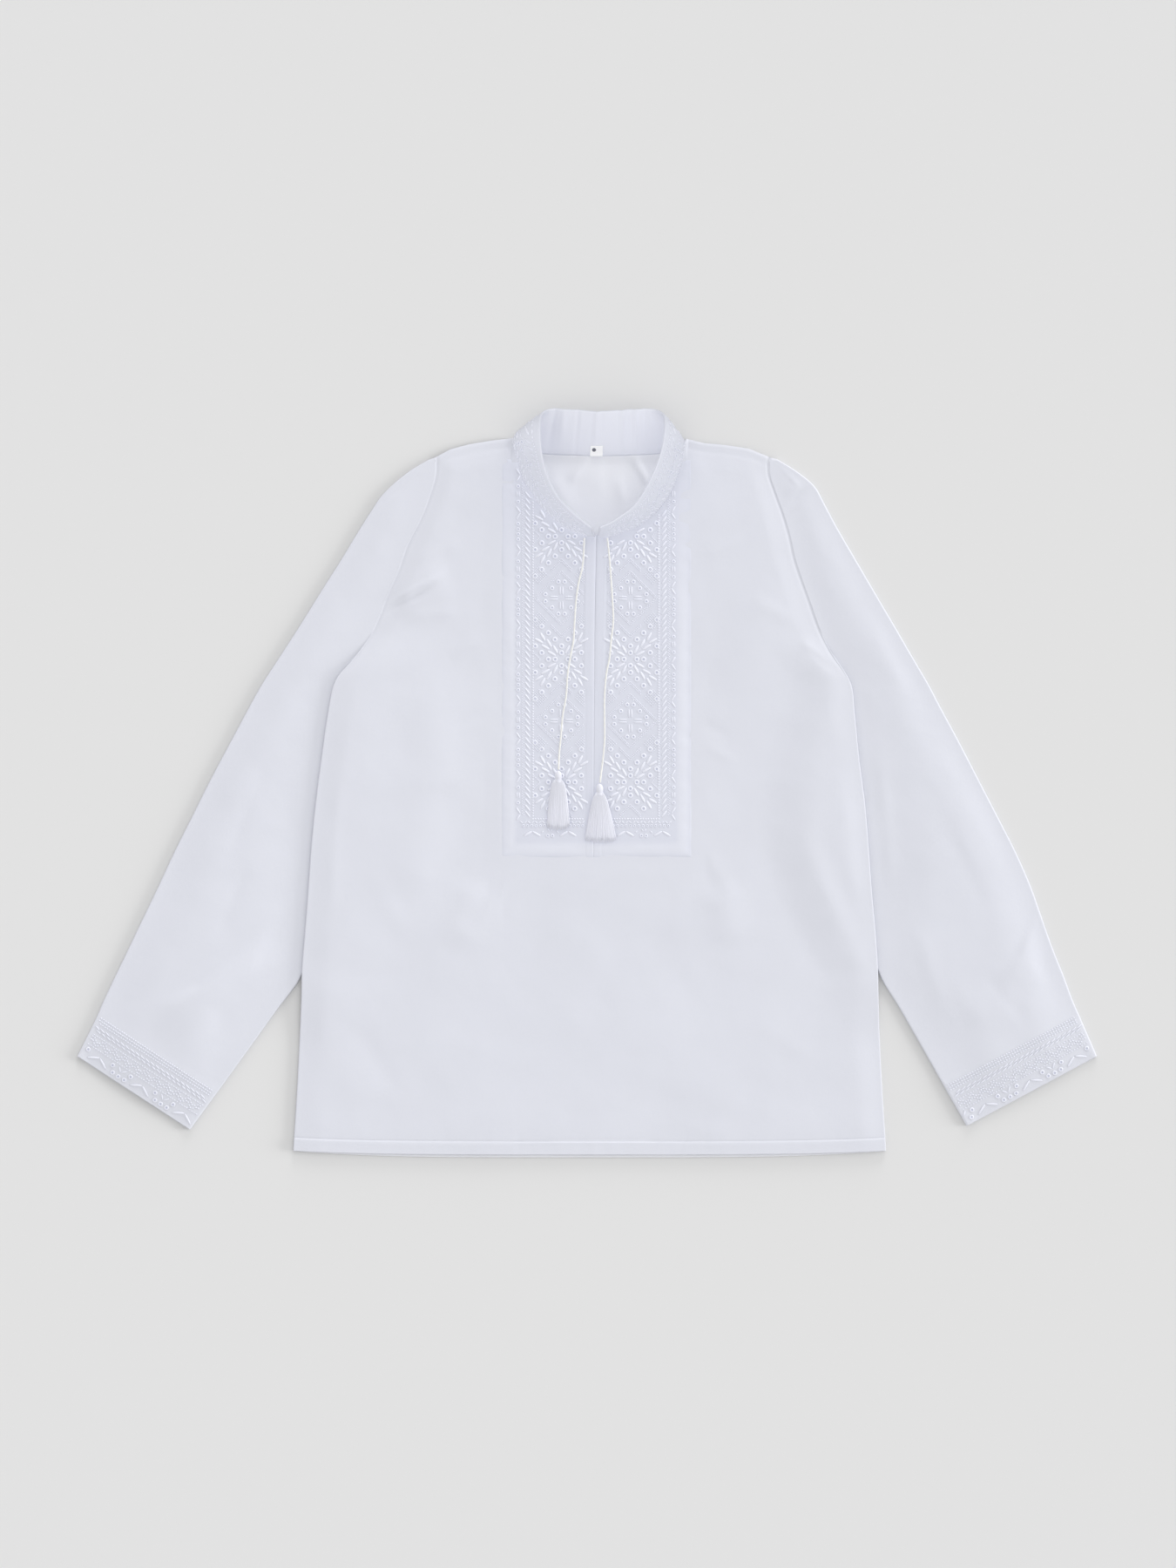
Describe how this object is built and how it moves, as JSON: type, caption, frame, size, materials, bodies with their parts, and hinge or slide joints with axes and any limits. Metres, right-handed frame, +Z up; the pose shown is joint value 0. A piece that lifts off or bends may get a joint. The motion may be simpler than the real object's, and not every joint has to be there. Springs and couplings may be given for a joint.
{
  "type": "vyshyvanka shirt",
  "caption": "Boy's white embroidered folk shirt with long sleeves, stand collar, slit bib and tasselled ties, laid flat on its back.",
  "frame": {"origin": "under the middle of the laid-out shirt, on the surface it lies on", "axes": "+X towards the wearer's left cuff, +Y past the collar, +Z up from the surface"},
  "size_m": [0.819, 0.6008, 0.043],
  "materials": {
    "linen": "plain-woven white cloth, matt, with a faint cool cast",
    "embroidered_linen": "white cloth under white thread embroidery with small eyelets",
    "label_tape": "smooth woven tape, slight sheen",
    "tie_cord": "thin twisted off-white cord",
    "tassel_yarn": "loose off-white yarn with a soft sheen"
  },
  "bodies": {
    "root": {"back": "linen", "front": "linen", "sleeve_right": "linen", "sleeve_left": "linen", "bib_right": "embroidered_linen", "bib_left": "embroidered_linen", "collar": "embroidered_linen", "size_label": "label_tape", "tie_right": "tie_cord", "tie_left": "tie_cord", "tassel_right": "tassel_yarn", "tassel_left": "tassel_yarn"}
  },
  "joints": []
}
